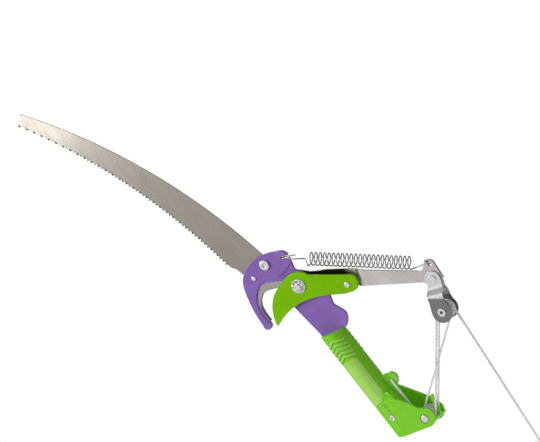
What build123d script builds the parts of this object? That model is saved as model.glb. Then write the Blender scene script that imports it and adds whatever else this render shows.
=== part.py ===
"""Cutting head of a telescoping pole saw: pruning saw, rope-pulled bypass lopper and pole socket.

Millimetres. The origin is the centre of the socket's mouth. +Z runs up the pole's axis to the saw, the
saw and the lopper lie in the XZ plane, and -Y is the side that shows the lopper's green blade.
"""
import os
from math import asin, atan2, cos, degrees, hypot, radians, sin

from build123d import *

os.makedirs("parts", exist_ok=True)

# ---------------------------------------------------------------- driving dimensions
# Pole socket
SOCKET_R = 17.0  # outer radius of the socket tube
POLE_BORE_R = 12.75  # bore for a 25 mm pole
POLE_BORE_DEPTH = 112.0
SOCKET_TOP = 159.0  # height of the slanted top on the axis
SOCKET_TOP_SLANT = 0.235  # fall of the top per mm of +X
RELIEF = 1.1  # how far the moulded grip marks stand out
BRACKET_OUT = 17.0  # outer faces of the two bracket walls, from the middle plane
BRACKET_WALL = 3.5
SCREW_Z = 23.0  # height of the pole lock screw
MOUTH_DROP = 6.2  # how far the mouth's rim hangs below the origin on the bracket's side

# Steel head, depths along Y (negative is the blade's side)
HOOK_FACE = -3.0  # raised face of the hook
NECK_FACE = -2.0  # set-back face of the neck and of the hook's inner margin
FRAME_BACK = 2.0
SAW_THICK = 1.4
ANVIL_THICK = 3.0
BLADE_FACE = -6.5
BLADE_BACK = -2.5
ARM_THICK = 3.5
ARM_REAR_FACE = 5.6  # front face of the arm behind the frame
TANG_W = 26.0
TANG_BOTTOM = 118.0

# Pivots, as (x, z)
PIVOT = (5.0, 233.5)  # lopper blade and lever
SAW_BOLT = (-17.6, 282.0)
SAW_RIVET = (-43.0, 277.0)
BLADE_RIVET = (64.1, 196.2)
BLOCK_PIVOT = (167.3, 134.3)
UPPER_AXLE = (152.4, 93.0)
LOWER_AXLE = (37.4, -3.0)
SPRING_NOTCH = (9.0, 275.5)
SPRING_EAR = (176.4, 152.4)
NOTCH_RUN = 16.0  # the notch runs this far along X out of the plate's edge
NOTCH_DROP = 6.0
NOTCH_W = 3.8

# Saw
TOOTH_PITCH = 5.4
TOOTH_DEPTH = 3.4

# Pulleys and rope
ROPE_R = 1.5
ROPE_TURN_R = 10.4  # radius of the rope's centre line on a sheave
SHEAVE_R = 12.2
SHEAVE_W = 8.4
LANE = 4.45  # each sheave's middle, from the middle plane
PULL_ANGLE = -6.0  # angle, on the rear upper sheave, where the pulled end leaves
PULL_LENGTH = 220.0  # of the pulled end, from the sheave to its knot
CHEEK_INNER = 9.5
CHEEK_THICK = 2.0
AXLE_R = 3.0
RUNNING = 0.05  # radial clearance of a shaft in its hole

# Spring
WIRE_R = 0.9
COIL_R = 8.3  # radius of the wire's centre line
COILS = 23
HOOK_WIRE = 38.0  # straight wire from the notch to the first coil
TAIL_WIRE = 25.5  # from the last coil to the ear


def save(builder, name, tint):
    """Label a finished piece and write its STEP file."""
    builder.part.label = name
    builder.part.color = Color(*tint)
    export_step(builder.part, f"parts/{name}.step")


def layer(depth):
    """Sketch plane that faces -Y and stands at the given depth; local x is X and local y is Z."""
    return Plane.XZ.offset(-depth)


def point(place, depth):
    """Row point of an (x, z) place at a depth."""
    return Vector(place[0], depth, place[1])


def joggled_strip(begin, bend_start, bend_end, end, face, far_face, thick):
    """Edge view of a plate that steps sideways in a smooth S between two of its stretches."""
    with BuildLine() as strip:
        for level, far_level in ((face, far_face), (face + thick, far_face + thick)):
            Line((begin, level), (bend_start, level))
            Spline((bend_start, level), (bend_end, far_level), tangents=((1, 0), (1, 0)))
            Line((bend_end, far_level), (end, far_level))
        Line((begin, face), (begin, face + thick))
        Line((end, far_face), (end, far_face + thick))
    return strip.line.edges()


PURPLE = (0.52, 0.38, 0.66)
GREEN = (0.35, 0.66, 0.05)
STEEL = (0.62, 0.60, 0.58)
ZINC = (0.80, 0.80, 0.80)
ROPE = (0.93, 0.93, 0.92)

# ---------------------------------------------------------------- frame plate with its hook and tang
HOOK_INNER = [
    (-64.6, 217.4),
    (-64.7, 225.0),
    (-64.0, 234.5),
    (-62.2, 243.4),
    (-57.5, 251.5),
    (-46.0, 260.8),
    (-38.5, 263.0),
    (-30.8, 261.6),
    (-23.0, 257.6),
]
HOOK_OUTER = [(-75.7, 220.5), (-74.8, 232.8), (-68.3, 262.6), (-56.6, 284.8), (-39.0, 293.3), (-16.9, 295.2)]
SHOULDER = [(-16.9, 295.2), (-2.0, 291.4), (8.0, 287.0), (16.2, 281.6), (18.5, 275.5), (16.6, 267.0)]
NECK_RIGHT = [(16.6, 267.0), (12.9, 254.5), (20.0, 243.0), (30.6, 198.3), (26.8, 188.2)]
NECK_BULGE = [(26.8, 188.2), (30.8, 178.0), (33.8, 168.5), (30.5, 161.1)]
NECK_LEFT = [(-16.3, 168.5), (-21.8, 212.2), (-17.5, 236.0), (-10.5, 250.8)]


def socket_top(x):
    """Height of the socket's slanted top at x."""
    return SOCKET_TOP - SOCKET_TOP_SLANT * x


with BuildPart() as frame_plate:
    with BuildSketch(layer(FRAME_BACK)):
        with BuildLine():
            Spline(*HOOK_INNER)
            Line(HOOK_INNER[-1], NECK_LEFT[-1])
            ThreePointArc(HOOK_INNER[0], (-69.6, 211.6), HOOK_OUTER[0])
            Spline(*HOOK_OUTER)
            Spline(*SHOULDER)
            Polyline(*NECK_RIGHT)
            Spline(*NECK_BULGE, (21.3, socket_top(21.3)))
            Polyline(
                (21.3, socket_top(21.3)),
                (TANG_W / 2, socket_top(TANG_W / 2)),
                (TANG_W / 2, TANG_BOTTOM),
                (-TANG_W / 2, TANG_BOTTOM),
                (-TANG_W / 2, socket_top(-TANG_W / 2)),
                (-16.3, socket_top(-16.3)),
                NECK_LEFT[0],
            )
            Line(NECK_LEFT[0], NECK_LEFT[1])
            Spline(NECK_LEFT[1], NECK_LEFT[2], NECK_LEFT[3])
        make_face()
    extrude(amount=FRAME_BACK - HOOK_FACE)
    # set-back margin along the hook's inner edge, where the blade sweeps, and the whole neck
    with BuildSketch(layer(HOOK_FACE)):
        with BuildLine():
            Spline(
                (-66.9, 219.0),
                (-66.6, 234.0),
                (-64.4, 245.5),
                (-52.5, 259.8),
                (-39.5, 266.2),
                (-27.0, 264.6),
                (-14.5, 259.8),
            )
            Spline((-14.5, 259.8), (-8.0, 258.8), (9.9, 262.5), (24.0, 268.0))
            Polyline(
                (24.0, 268.0), (60.0, 230.0), (60.0, 100.0), (-50.0, 100.0), (-50.0, 219.0), (-66.9, 219.0)
            )
        make_face()
    extrude(amount=HOOK_FACE - NECK_FACE, mode=Mode.SUBTRACT)
    # slot that holds the spring's hook
    with BuildSketch(layer(FRAME_BACK)):
        with Locations((SPRING_NOTCH[0] + NOTCH_RUN / 2, SPRING_NOTCH[1] - NOTCH_DROP / 2)):
            SlotCenterToCenter(
                hypot(NOTCH_RUN, NOTCH_DROP), NOTCH_W, rotation=-degrees(atan2(NOTCH_DROP, NOTCH_RUN))
            )
    extrude(amount=FRAME_BACK - HOOK_FACE, mode=Mode.SUBTRACT)
    # holes for the pivot bush, the saw bolt and the saw rivet
    with BuildSketch(layer(FRAME_BACK)):
        with Locations(PIVOT):
            Circle(6.0)
        with Locations(SAW_BOLT):
            Circle(4.0)
        with Locations(SAW_RIVET):
            Circle(2.0)
    extrude(amount=FRAME_BACK - HOOK_FACE, mode=Mode.SUBTRACT)
save(frame_plate, "frame_plate", PURPLE)

# ---------------------------------------------------------------- anvil: steel counter blade behind the hook
ANVIL_EDGE = [(-8.0, 242.5), (-14.5, 244.5), (-22.0, 247.5), (-30.5, 250.4), (-38.5, 253.2), (-47.0, 253.4)]
ANVIL_SIDE = [(-47.0, 253.4), (-53.0, 250.8), (-58.4, 246.0), (-61.7, 240.2), (-63.2, 233.5), (-63.4, 219.5)]
PIVOT_EYE_R = 12.0

with BuildPart() as anvil_blade:
    # lip that fills the hook's edge, flush with the set-back face
    with BuildSketch(layer(FRAME_BACK)):
        with BuildLine():
            Spline(*ANVIL_EDGE)
            Spline(*ANVIL_SIDE)
            Polyline(
                ANVIL_SIDE[-1], (-66.0, 224.0), (-66.0, 250.0), (-40.0, 266.0), (-10.5, 256.0), ANVIL_EDGE[0]
            )
        make_face()
    extrude(amount=FRAME_BACK - NECK_FACE)
    add(frame_plate.part, mode=Mode.SUBTRACT)
    # plate behind the frame, from the hook to an eye round the pivot
    with BuildSketch(layer(FRAME_BACK + ANVIL_THICK)):
        with BuildLine():
            Spline(*ANVIL_EDGE)
            Spline(*ANVIL_SIDE)
            Polyline(ANVIL_SIDE[-1], (-69.5, 222.0), (-68.5, 240.0), (-60.0, 256.0), (-46.0, 263.5))
            Polyline(
                (-46.0, 263.5), (-22.0, 264.0), (2.0, 250.0), (5.0, 236.0), (-6.0, 236.0), ANVIL_EDGE[0]
            )
        make_face()
        with Locations(PIVOT):
            Circle(PIVOT_EYE_R)
    extrude(amount=ANVIL_THICK)
    with BuildSketch(layer(FRAME_BACK + ANVIL_THICK)):
        with Locations(PIVOT):
            Circle(6.0)
    extrude(amount=FRAME_BACK + ANVIL_THICK - HOOK_FACE, mode=Mode.SUBTRACT)
save(anvil_blade, "anvil_blade", STEEL)

# ---------------------------------------------------------------- saw blade
SAW_BACK = [(-14.2, 298.1), (-63.2, 452.4), (-172.5, 635.3)]
SAW_EDGE = [(-186.2, 621.9), (-113.9, 482.0), (-67.0, 313.6)]

with BuildPart() as saw_blade:
    with BuildSketch(layer(FRAME_BACK + SAW_THICK)):
        with BuildLine():
            ThreePointArc(*SAW_BACK)
            Line(SAW_BACK[-1], SAW_EDGE[0])
            tooth_line = ThreePointArc(*SAW_EDGE)
            Spline(SAW_EDGE[-1], (-63.5, 307.5), (-57.5, 299.0), (-55.0, 288.0))
            Polyline((-55.0, 288.0), (-53.5, 274.0), (-46.0, 267.0), (-38.0, 266.8))
            Polyline((-38.0, 266.8), (-16.0, 268.5), (-8.0, 277.0))
            Line((-8.0, 277.0), SAW_BACK[0])
        make_face()
    extrude(amount=SAW_THICK)
    # gullets between the teeth
    tooth_count = int(tooth_line.length / TOOTH_PITCH)
    with BuildSketch(layer(FRAME_BACK + SAW_THICK)):
        for tooth in range(tooth_count):
            run = (tooth + 0.5) / tooth_count
            along = tooth_line % run
            inward = Vector(-along.Y, along.X)
            root = tooth_line @ run
            half = along * (TOOTH_PITCH * 0.47)
            with BuildLine():
                Polyline(root - half - inward, root + inward * TOOTH_DEPTH, root + half - inward, close=True)
            make_face()
    extrude(amount=SAW_THICK, mode=Mode.SUBTRACT)
    with BuildSketch(layer(FRAME_BACK + SAW_THICK)):
        with Locations(SAW_BOLT):
            Circle(4.0)
        with Locations(SAW_RIVET):
            Circle(2.0)
    extrude(amount=SAW_THICK, mode=Mode.SUBTRACT)
save(saw_blade, "saw_blade", STEEL)

# ---------------------------------------------------------------- saw bolt, its nut and the saw rivet
with BuildPart() as saw_bolt:
    with BuildSketch(layer(HOOK_FACE)):
        with Locations(SAW_BOLT):
            Circle(7.0)
    extrude(amount=2.6)
    fillet(saw_bolt.faces().sort_by(Axis.Y)[0].edges(), 1.2)
    with BuildSketch(layer(HOOK_FACE - 2.6)):
        with Locations(SAW_BOLT):
            RegularPolygon(2.9, 6)
    extrude(amount=-1.8, mode=Mode.SUBTRACT)
    with BuildSketch(layer(11.0)):
        with Locations(SAW_BOLT):
            Circle(3.95)
    extrude(amount=11.0 - HOOK_FACE)
save(saw_bolt, "saw_bolt", ZINC)

with BuildPart() as saw_washer:
    with BuildSketch(layer(FRAME_BACK + SAW_THICK + 1.2)):
        with Locations(SAW_BOLT):
            Circle(8.0)
            Circle(4.05, mode=Mode.SUBTRACT)
    extrude(amount=1.2)
save(saw_washer, "saw_washer", ZINC)

with BuildPart() as saw_nut:
    with BuildSketch(layer(FRAME_BACK + SAW_THICK + 6.2)):
        with Locations(SAW_BOLT):
            RegularPolygon(7.4, 6)
            Circle(3.95, mode=Mode.SUBTRACT)
    extrude(amount=5.0)
save(saw_nut, "saw_nut", ZINC)

with BuildPart() as saw_rivet:
    with BuildSketch(layer(HOOK_FACE)):
        with Locations(SAW_RIVET):
            Circle(3.3)
    extrude(amount=1.3)
    fillet(saw_rivet.faces().sort_by(Axis.Y)[0].edges(), 0.9)
    with BuildSketch(layer(FRAME_BACK + SAW_THICK + 1.3)):
        with Locations(SAW_RIVET):
            Circle(3.3)
    extrude(amount=1.3)
    with BuildSketch(layer(FRAME_BACK + SAW_THICK)):
        with Locations(SAW_RIVET):
            Circle(1.98)
    extrude(amount=FRAME_BACK + SAW_THICK - HOOK_FACE)
save(saw_rivet, "saw_rivet", ZINC)

# ---------------------------------------------------------------- pivot: bush, bolt, lock nut and washers
PIVOT_BOLT_R = 4.0
BUSH_R = 5.95
STACK_BACK = ARM_REAR_FACE + ARM_THICK

with BuildPart() as pivot_bush:
    with BuildSketch(layer(STACK_BACK + 0.1)):
        with Locations(PIVOT):
            Circle(BUSH_R)
            Circle(PIVOT_BOLT_R + 0.02, mode=Mode.SUBTRACT)
    extrude(amount=STACK_BACK + 0.1 - BLADE_FACE + 0.1)
save(pivot_bush, "pivot_bush", ZINC)

with BuildPart() as pivot_bolt:
    with BuildSketch(layer(STACK_BACK + 4.1)):
        with Locations(PIVOT):
            RegularPolygon(8.6, 6)
    extrude(amount=4.0)
    with BuildSketch(layer(STACK_BACK + 0.1)):
        with Locations(PIVOT):
            Circle(PIVOT_BOLT_R)
    extrude(amount=STACK_BACK + 0.1 - BLADE_FACE + 4.6)
save(pivot_bolt, "pivot_bolt", ZINC)

NUT_R = 9.8
NUT_POINTS = 12
with BuildPart() as pivot_nut:
    with BuildSketch(layer(BLADE_FACE - 0.1)):
        with Locations(PIVOT):
            Circle(NUT_R)
            Circle(PIVOT_BOLT_R + 0.02, mode=Mode.SUBTRACT)
    extrude(amount=1.2)
    # raised star with a notch between its points
    with BuildSketch(layer(BLADE_FACE - 1.3)):
        with Locations(PIVOT):
            Circle(7.6)
            Circle(PIVOT_BOLT_R + 0.02, mode=Mode.SUBTRACT)
        with Locations(Location((*PIVOT, 0))):
            with PolarLocations(8.0, NUT_POINTS):
                Circle(1.15, mode=Mode.SUBTRACT)
    extrude(amount=2.6)
save(pivot_nut, "pivot_nut", ZINC)

with BuildPart() as thrust_washers:
    for washer_back, washer_thick in ((NECK_FACE, 0.4), (ARM_REAR_FACE - 0.1, 0.5)):
        with BuildSketch(layer(washer_back)):
            with Locations(PIVOT):
                Circle(10.5)
                Circle(BUSH_R + 0.1, mode=Mode.SUBTRACT)
        extrude(amount=washer_thick)
save(thrust_washers, "thrust_washers", ZINC)

# ---------------------------------------------------------------- lopper blade
BLADE_EDGE = [(-56.9, 208.8), (-51.5, 224.2), (-46.0, 232.0), (-36.5, 241.0), (-25.5, 246.6), (-12.2, 249.6)]
BLADE_HEAD = [(-12.2, 249.6), (5.3, 252.3), (18.6, 247.0), (26.0, 237.4)]
BLADE_BELLY = [(53.4, 188.4), (33.2, 199.6), (21.1, 205.7), (7.2, 211.0), (-24.2, 215.0), (-46.1, 212.1)]

with BuildPart() as cutting_blade:
    with BuildSketch(layer(BLADE_BACK)):
        with BuildLine():
            Spline(*BLADE_EDGE)
            Spline(*BLADE_HEAD)
            Polyline(BLADE_HEAD[-1], (70.6, 207.6), (74.5, 205.2))
            Spline((74.5, 205.2), (80.0, 195.5), (75.5, 186.8), (65.1, 184.5))
            Line((65.1, 184.5), BLADE_BELLY[0])
            Spline(*BLADE_BELLY)
            Line(BLADE_BELLY[-1], BLADE_EDGE[0])
        make_face()
        with Locations(PIVOT):
            Circle(BUSH_R + RUNNING, mode=Mode.SUBTRACT)
        with Locations(BLADE_RIVET):
            Circle(2.5, mode=Mode.SUBTRACT)
    extrude(amount=BLADE_BACK - BLADE_FACE)
save(cutting_blade, "cutting_blade", GREEN)

# ---------------------------------------------------------------- lever arm, joggled forward past the rivet
ARM_ANGLE = degrees(atan2(PIVOT[1] - BLOCK_PIVOT[1], BLOCK_PIVOT[0] - PIVOT[0]))
JOGGLE_START = 76.0  # along the arm from the pivot
JOGGLE_END = 90.0
STRAP_FACE = -ARM_THICK / 2
arm_along = Vector(cos(radians(ARM_ANGLE)), 0, -sin(radians(ARM_ANGLE)))
arm_across = Vector(sin(radians(ARM_ANGLE)), 0, cos(radians(ARM_ANGLE)))
arm_side = Plane(origin=point(PIVOT, 0), x_dir=arm_along, z_dir=arm_across)

with BuildPart() as lever_arm:
    with BuildSketch(arm_side):
        make_face(
            joggled_strip(-30.0, JOGGLE_START, JOGGLE_END, 230.0, ARM_REAR_FACE, STRAP_FACE, ARM_THICK)
        )
    extrude(amount=60.0, both=True)
    with BuildSketch(layer(20.0)):
        with BuildLine():
            ThreePointArc((12.0, 250.5), (-8.5, 240.0), (0.0, 221.5))
            Polyline((0.0, 221.5), (59.0, 187.4), (70.5, 187.0), (152.5, 138.4), (158.0, 132.0))
            ThreePointArc((158.0, 132.0), (168.0, 124.0), (180.5, 128.5))
            Line((180.5, 128.5), (183.2, 151.0))
            ThreePointArc((183.2, 151.0), (177.5, 158.8), (168.5, 156.2))
            Spline((168.5, 156.2), (163.0, 152.6), (155.5, 154.7))
            Polyline((155.5, 154.7), (88.0, 202.0), (42.8, 230.0))
            Polyline((42.8, 230.0), (35.8, 233.1), (24.8, 238.8), (12.0, 250.5))
        make_face()
        with Locations(PIVOT):
            Circle(BUSH_R + RUNNING, mode=Mode.SUBTRACT)
        with Locations(BLADE_RIVET):
            Circle(2.5, mode=Mode.SUBTRACT)
        with Locations(BLOCK_PIVOT):
            Circle(AXLE_R + RUNNING, mode=Mode.SUBTRACT)
        with Locations(SPRING_EAR):
            Circle(2.9, mode=Mode.SUBTRACT)
    extrude(amount=40.0, mode=Mode.INTERSECT)
save(lever_arm, "lever_arm", STEEL)

with BuildPart() as blade_rivet:
    with BuildSketch(layer(BLADE_FACE)):
        with Locations(BLADE_RIVET):
            Circle(4.2)
    extrude(amount=1.5)
    fillet(blade_rivet.faces().sort_by(Axis.Y)[0].edges(), 1.1)
    with BuildSketch(layer(STACK_BACK + 1.5)):
        with Locations(BLADE_RIVET):
            Circle(4.2)
    extrude(amount=1.5)
    with BuildSketch(layer(STACK_BACK)):
        with Locations(BLADE_RIVET):
            Circle(2.48)
    extrude(amount=STACK_BACK - BLADE_FACE)
save(blade_rivet, "blade_rivet", ZINC)

with BuildPart() as spacer_sleeve:
    with BuildSketch(layer(ARM_REAR_FACE)):
        with Locations(BLADE_RIVET):
            Circle(4.8)
            Circle(2.5, mode=Mode.SUBTRACT)
    extrude(amount=ARM_REAR_FACE - BLADE_BACK)
save(spacer_sleeve, "spacer_sleeve", ZINC)

# ---------------------------------------------------------------- pulley block on the arm's end
CHEEK_TOP_GAP = 0.3  # between each cheek and the arm's strap
CHEEK_TOP = ARM_THICK / 2 + CHEEK_TOP_GAP  # inner face of a cheek beside the strap
block_drop = hypot(BLOCK_PIVOT[0] - UPPER_AXLE[0], BLOCK_PIVOT[1] - UPPER_AXLE[1])
block_down = Vector(
    (UPPER_AXLE[0] - BLOCK_PIVOT[0]) / block_drop, 0, (UPPER_AXLE[1] - BLOCK_PIVOT[1]) / block_drop
)
block_side = Plane(origin=point(BLOCK_PIVOT, 0), x_dir=block_down, z_dir=block_down.cross(Vector(0, 1, 0)))


def cheek(side):
    """One joggled cheek; side is -1 for the front one and +1 for the rear one."""
    with BuildPart() as piece:
        with BuildSketch(block_side):
            make_face(
                joggled_strip(
                    -20.0, 8.0, 24.0, 70.0, side * CHEEK_TOP, side * CHEEK_INNER, side * CHEEK_THICK
                )
            )
        extrude(amount=40.0, both=True)
        with BuildSketch(layer(20.0)):
            with BuildLine():
                ThreePointArc((156.6, 131.9), (166.5, 145.2), (178.2, 133.0))
                Spline((178.2, 133.0), (174.5, 122.0), (167.6, 107.5), (166.6, 95.0))
                ThreePointArc((166.6, 95.0), (152.6, 78.7), (138.2, 91.0))
                Spline((138.2, 91.0), (140.5, 101.0), (146.0, 112.5), (149.0, 122.5), (156.6, 131.9))
            make_face()
            with Locations(BLOCK_PIVOT):
                Circle(AXLE_R, mode=Mode.SUBTRACT)
            with Locations(UPPER_AXLE):
                Circle(AXLE_R, mode=Mode.SUBTRACT)
        extrude(amount=40.0, mode=Mode.INTERSECT)
    return piece


front_cheek = cheek(-1)
save(front_cheek, "front_cheek", ZINC)
rear_cheek = cheek(1)
save(rear_cheek, "rear_cheek", ZINC)


def headed_pin(place, depth, radius, head_r, head_thick, bore_r=0.0):
    """Rivet or axle with a round head at each end; depth is the face that each head lies on."""
    with BuildPart() as pin:
        for face, thick in ((-depth, head_thick), (depth + head_thick, head_thick)):
            with BuildSketch(layer(face)):
                with Locations(place):
                    Circle(head_r)
            extrude(amount=thick)
        with BuildSketch(layer(depth)):
            with Locations(place):
                Circle(radius)
        extrude(amount=2 * depth)
        if bore_r > 0:
            with BuildSketch(layer(depth + head_thick)):
                with Locations(place):
                    Circle(bore_r)
            extrude(amount=2 * (depth + head_thick), mode=Mode.SUBTRACT)
    return pin


block_rivet = headed_pin(BLOCK_PIVOT, CHEEK_TOP + CHEEK_THICK, AXLE_R, 5.2, 1.2)
save(block_rivet, "block_rivet", ZINC)
upper_axle = headed_pin(UPPER_AXLE, CHEEK_INNER + CHEEK_THICK, AXLE_R, 5.6, 1.2, 2.1)
save(upper_axle, "upper_axle", ZINC)

# ---------------------------------------------------------------- sheaves, two lanes above and two below
GROOVE_ROOT = ROPE_TURN_R - ROPE_R - 0.2


def sheave(place, lane):
    """Grooved wheel that turns on its axle."""
    with BuildPart() as wheel:
        with BuildSketch(Plane(origin=point(place, lane), x_dir=(1, 0, 0), z_dir=(0, 0, 1))):
            Polygon(
                (AXLE_R + RUNNING, -SHEAVE_W / 2),
                (SHEAVE_R, -SHEAVE_W / 2),
                (SHEAVE_R, -SHEAVE_W / 2 + 0.9),
                (GROOVE_ROOT, -1.3),
                (GROOVE_ROOT, 1.3),
                (SHEAVE_R, SHEAVE_W / 2 - 0.9),
                (SHEAVE_R, SHEAVE_W / 2),
                (AXLE_R + RUNNING, SHEAVE_W / 2),
                align=None,
            )
        revolve(axis=Axis(point(place, lane), (0, 1, 0)))
    return wheel


for sheave_name, sheave_place, sheave_lane in (
    ("upper_sheave_front", UPPER_AXLE, -LANE),
    ("upper_sheave_rear", UPPER_AXLE, LANE),
    ("lower_sheave_front", LOWER_AXLE, -LANE),
    ("lower_sheave_rear", LOWER_AXLE, LANE),
):
    save(sheave(sheave_place, sheave_lane), sheave_name, ZINC)

# ---------------------------------------------------------------- pole socket, bracket, ear and guide finger
BRACKET_IN = BRACKET_OUT - BRACKET_WALL
BOSS_R = 13.0
BOSS_CENTRE = (40.0, -3.0)
EAR_HOLE = (LOWER_AXLE[0] - ROPE_TURN_R, 63.4)
EAR_THICK = 5.0
CHEVRONS = 5
CHEVRON_PITCH = 6.2
CHEVRON_TOP = 149.5
CHEVRON_HALF = 13.6  # half the width of a chevron
PAD_LOW = 48.0
PAD_HIGH = 117.0
PAD_W = 24.0
PAD_CORNER = 6.0
FINE_RIBS = 6
FINE_RIB_PITCH = 3.1
FINE_RIB_LOW = 29.0
FINE_RIB_W = 7.0

# marks moulded on the tube's two flat-on sides: chevrons, a broad thumb pad and fine ribs
with BuildPart() as grip_marks:
    with BuildSketch(layer(0.0)):
        for chevron in range(CHEVRONS):
            height = CHEVRON_TOP - chevron * CHEVRON_PITCH
            with BuildLine():
                Polyline(
                    (-CHEVRON_HALF, height - 4.5),
                    (0.0, height + 1.2),
                    (CHEVRON_HALF, height - 4.5),
                    (CHEVRON_HALF, height - 7.3),
                    (0.0, height - 1.6),
                    (-CHEVRON_HALF, height - 7.3),
                    close=True,
                )
            make_face()
        with Locations((0.0, (PAD_LOW + PAD_HIGH) / 2)):
            RectangleRounded(PAD_W, PAD_HIGH - PAD_LOW, PAD_CORNER)
        for rib in range(FINE_RIBS):
            with Locations((0.0, FINE_RIB_LOW + rib * FINE_RIB_PITCH)):
                Rectangle(FINE_RIB_W, 1.2)
    extrude(amount=2 * SOCKET_R, both=True)
    with BuildSketch(Plane.XY):
        Circle(SOCKET_R + RELIEF)
        Circle(SOCKET_R - 1.0, mode=Mode.SUBTRACT)
    extrude(amount=SOCKET_TOP, mode=Mode.INTERSECT)


def wall_outline(shoulder):
    """Outline of one bracket wall; shoulder lists the upper edge's points from the tube outwards."""
    with BuildSketch(Plane.XY, mode=Mode.PRIVATE) as outline:
        with BuildLine():
            Polyline((0.0, -MOUTH_DROP), (0.0, 60.0), *shoulder)
            Line(shoulder[-1], (BOSS_CENTRE[0] + 11.0, BOSS_CENTRE[1] + 7.0))
            ThreePointArc(
                (BOSS_CENTRE[0] + 11.0, BOSS_CENTRE[1] + 7.0),
                (BOSS_CENTRE[0] + BOSS_R * cos(radians(-30)), BOSS_CENTRE[1] + BOSS_R * sin(radians(-30))),
                (BOSS_CENTRE[0] - 1.5, BOSS_CENTRE[1] - BOSS_R + 0.1),
            )
            Line((BOSS_CENTRE[0] - 1.5, BOSS_CENTRE[1] - BOSS_R + 0.1), (0.0, -MOUTH_DROP))
        make_face()
    return outline.sketch


FRONT_SHOULDER = ((8.0, 50.0), (17.0, 44.0), (25.0, 35.4), (33.0, 24.5), (38.5, 14.0))
REAR_SHOULDER = ((17.0, 56.0), (28.0, 41.0), (39.9, 24.5), (47.0, 14.0))

with BuildPart() as pole_socket:
    with BuildSketch(Plane.XY.offset(-MOUTH_DROP)):
        Circle(SOCKET_R)
    extrude(amount=MOUTH_DROP + SOCKET_TOP + 10.0)
    # the rim rises to the origin on the side away from the bracket
    with BuildSketch(layer(40.0)):
        Polygon((-30.0, 1.0), (-17.0, 0.0), (-1.0, -MOUTH_DROP), (-1.0, -30.0), (-30.0, -30.0), align=None)
    extrude(amount=80.0, mode=Mode.SUBTRACT)
    add(grip_marks.part)
    # two walls of the rope bracket
    for shoulder, wall_back in ((FRONT_SHOULDER, -BRACKET_IN), (REAR_SHOULDER, BRACKET_OUT)):
        with BuildSketch(layer(wall_back)):
            add(wall_outline(shoulder))
        extrude(amount=BRACKET_WALL)
    # round cheeks inside the walls, beside the sheaves
    for boss_back, boss_deep in (
        (-SHEAVE_W - 0.95, BRACKET_IN - SHEAVE_W - 0.95),
        (BRACKET_IN, BRACKET_IN - SHEAVE_W - 0.95),
    ):
        with BuildSketch(layer(boss_back)):
            with Locations(LOWER_AXLE):
                Circle(6.5)
        extrude(amount=boss_deep)
    # web between the walls along the tube, from the ear down to the mouth
    with BuildSketch(layer(BRACKET_OUT - 0.5)):
        Polygon(
            (6.0, 0.0),
            (6.0, 58.0),
            (17.0, 54.0),
            (19.5, 44.0),
            (19.5, 22.0),
            (16.9, 10.0),
            (16.9, 0.0),
            align=None,
        )
    extrude(amount=2 * BRACKET_OUT - 1.0)
    # cross bar below the rope, and the guide finger that stands on it between the two lanes
    with BuildSketch(layer(BRACKET_OUT)):
        with Locations((49.4, -10.9)):
            Circle(2.0)
    extrude(amount=2 * BRACKET_OUT)
    with BuildSketch(layer(1.8)):
        with BuildLine():
            Spline((47.7, -10.5), (51.2, -3.5), (53.0, 6.0), (56.5, 15.8))
            ThreePointArc((56.5, 15.8), (58.9, 16.9), (60.2, 14.6))
            Spline((60.2, 14.6), (57.2, 5.0), (55.2, -4.5), (51.2, -11.5))
            Line((51.2, -11.5), (47.7, -10.5))
        make_face()
    extrude(amount=3.6)
    # rope ear
    with BuildSketch(layer(EAR_THICK / 2)):
        with BuildLine():
            Polyline((10.0, 50.0), (10.0, 80.0), (17.0, 77.0))
            Spline(
                (17.0, 77.0),
                (25.0, 74.3),
                (32.0, 71.5),
                (35.5, 64.0),
                (31.5, 56.0),
                (24.0, 52.0),
                (17.0, 47.0),
            )
            Line((17.0, 47.0), (10.0, 50.0))
        make_face()
        with Locations(EAR_HOLE):
            Circle(ROPE_R + 0.6, mode=Mode.SUBTRACT)
    extrude(amount=EAR_THICK)
    # slanted top
    with BuildSketch(layer(40.0)):
        Polygon(
            (-60.0, socket_top(-60.0)), (60.0, socket_top(60.0)), (60.0, 230.0), (-60.0, 230.0), align=None
        )
    extrude(amount=80.0, mode=Mode.SUBTRACT)
    # bore for the pole
    with BuildSketch(Plane.XY.offset(-20.0)):
        Circle(POLE_BORE_R)
    extrude(amount=20.0 + POLE_BORE_DEPTH, mode=Mode.SUBTRACT)
    # axle holes with a recess for each head, and the lock screw's hole
    with BuildSketch(layer(BRACKET_OUT + 5.0)):
        with Locations(LOWER_AXLE):
            Circle(AXLE_R)
    extrude(amount=2 * BRACKET_OUT + 10.0, mode=Mode.SUBTRACT)
    for recess_back, recess_deep in ((-BRACKET_OUT + 1.6, 10.0), (BRACKET_OUT + 10.0, 11.6)):
        with BuildSketch(layer(recess_back)):
            with Locations(LOWER_AXLE):
                Circle(6.3)
        extrude(amount=recess_deep, mode=Mode.SUBTRACT)
    with BuildSketch(layer(0.0)):
        with Locations((0.0, SCREW_Z)):
            Circle(2.0)
    extrude(amount=40.0, mode=Mode.SUBTRACT)
    with BuildSketch(layer(-SOCKET_R + 1.3)):
        with Locations((0.0, SCREW_Z)):
            Circle(4.2)
    extrude(amount=20.0, mode=Mode.SUBTRACT)
    # the tang is moulded in
    add(frame_plate.part, mode=Mode.SUBTRACT)
save(pole_socket, "pole_socket", GREEN)

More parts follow.
